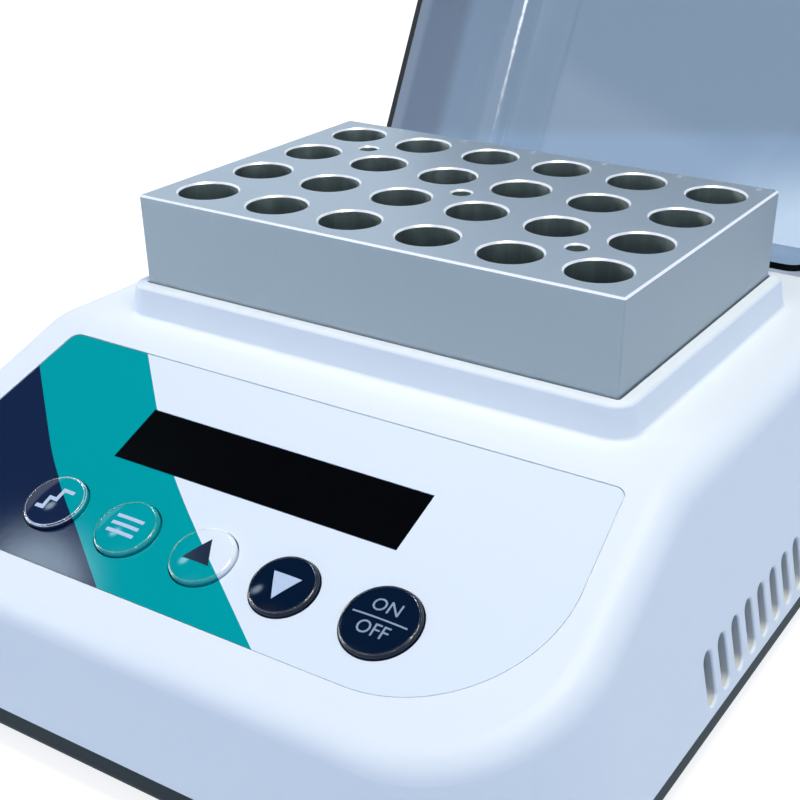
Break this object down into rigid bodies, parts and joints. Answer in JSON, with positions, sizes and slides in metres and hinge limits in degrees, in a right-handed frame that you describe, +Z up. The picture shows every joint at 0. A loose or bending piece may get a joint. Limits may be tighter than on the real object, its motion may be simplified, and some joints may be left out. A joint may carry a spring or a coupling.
{
  "type": "dry block heater",
  "caption": "Bench-top heater with a sloping keypad panel, a removable aluminium block bored for tubes, side vents and a smoked lid hinged at the rear.",
  "frame": {"origin": "on the bench, under the middle of the bounding box with the lid open", "axes": "+X to the user's right, +Y from the user towards the hinge, +Z up"},
  "size_m": [0.1658, 0.2552, 0.1441],
  "materials": {
    "white_shell": "satin moulded",
    "dark_tray": "fine texture",
    "smoked_lid": "polished, clear smoked",
    "block_aluminium": "bead-blasted, anodised",
    "plate_aluminium": "milled",
    "label_film": "satin printed film",
    "black_window": "polished",
    "key_cap": "polished",
    "rubber_black": "matt",
    "silicone_mat": "matt",
    "insulation_foam": "matt",
    "sheet_steel": "brushed",
    "screw_steel": "zinc-plated",
    "polished_steel": "polished",
    "phenolic_black": "matt",
    "board_green": "solder mask",
    "bezel_black": "satin",
    "display_cell": "polished",
    "core_iron": "varnished",
    "contact_brass": "bright",
    "fuse_glass": "clear"
  },
  "bodies": {
    "base": {"base_tray": "dark_tray", "board_screws": "screw_steel", "display_bezel": "bezel_black", "display_board": "board_green", "display_glass": "display_cell", "display_lens": "black_window", "heat_sink": "plate_aluminium", "heater_holder": "sheet_steel", "heater_mat": "silicone_mat", "heater_plate": "plate_aluminium", "hinge_pins": "polished_steel", "holder_screws": "screw_steel", "housing": "white_shell", "inlet_blades": "contact_brass", "inlet_screws": "screw_steel", "insulation_tub": "insulation_foam", "key_board": "board_green", "main_board": "board_green", "main_parts": "phenolic_black", "panel_overlay": "label_film", "power_board": "board_green", "power_inlet": "phenolic_black", "power_parts": "phenolic_black", "rubber_feet": "rubber_black", "switch_frame": "phenolic_black", "tactile_switches": "phenolic_black", "temperature_probe": "polished_steel", "thermal_cutout": "phenolic_black", "transformer": "core_iron", "tray_screws": "screw_steel", "well_liner": "sheet_steel"},
    "lid": {"lid": "smoked_lid"},
    "heating_block": {"heating_block": "block_aluminium"},
    "key_program": {"key_program": "key_cap"},
    "key_menu": {"key_menu": "key_cap"},
    "key_up": {"key_up": "key_cap"},
    "key_down": {"key_down": "key_cap"},
    "key_power": {"key_power": "key_cap"},
    "rocker": {"rocker": "phenolic_black"},
    "fuse_drawer": {"fuse_drawer": "phenolic_black", "fuse": "fuse_glass"}
  },
  "joints": [
    {"name": "lid_hinge", "type": "hinge", "parent": "base", "child": "lid", "pos_m": [0, 0.0433, 0.0535], "axis": [-1, 0, 0], "range_deg": [-118.1, 0]},
    {"name": "block_lift", "type": "slide", "parent": "base", "child": "heating_block", "axis": [0, 0, 1], "range_m": [0, 0.06]},
    {"name": "key_program_press", "type": "slide", "parent": "base", "child": "key_program", "axis": [0, 0.3714, -0.9285], "range_m": [0, 0.0004], "stiffness_N_per_m": 800, "springref_m": -0.0003},
    {"name": "key_menu_press", "type": "slide", "parent": "base", "child": "key_menu", "axis": [0, 0.3714, -0.9285], "range_m": [0, 0.0004], "stiffness_N_per_m": 800, "springref_m": -0.0003},
    {"name": "key_up_press", "type": "slide", "parent": "base", "child": "key_up", "axis": [0, 0.3714, -0.9285], "range_m": [0, 0.0004], "stiffness_N_per_m": 800, "springref_m": -0.0003},
    {"name": "key_down_press", "type": "slide", "parent": "base", "child": "key_down", "axis": [0, 0.3714, -0.9285], "range_m": [0, 0.0004], "stiffness_N_per_m": 800, "springref_m": -0.0003},
    {"name": "key_power_press", "type": "slide", "parent": "base", "child": "key_power", "axis": [0, 0.3714, -0.9285], "range_m": [0, 0.0004], "stiffness_N_per_m": 800, "springref_m": -0.0003},
    {"name": "rocker_tilt", "type": "hinge", "parent": "base", "child": "rocker", "pos_m": [-0.03, 0.04754, 0.02825], "axis": [1, 0, 0], "range_deg": [0, 20]},
    {"name": "fuse_drawer_pull", "type": "slide", "parent": "base", "child": "fuse_drawer", "axis": [0, 1, 0], "range_m": [0, 0.012]}
  ]
}
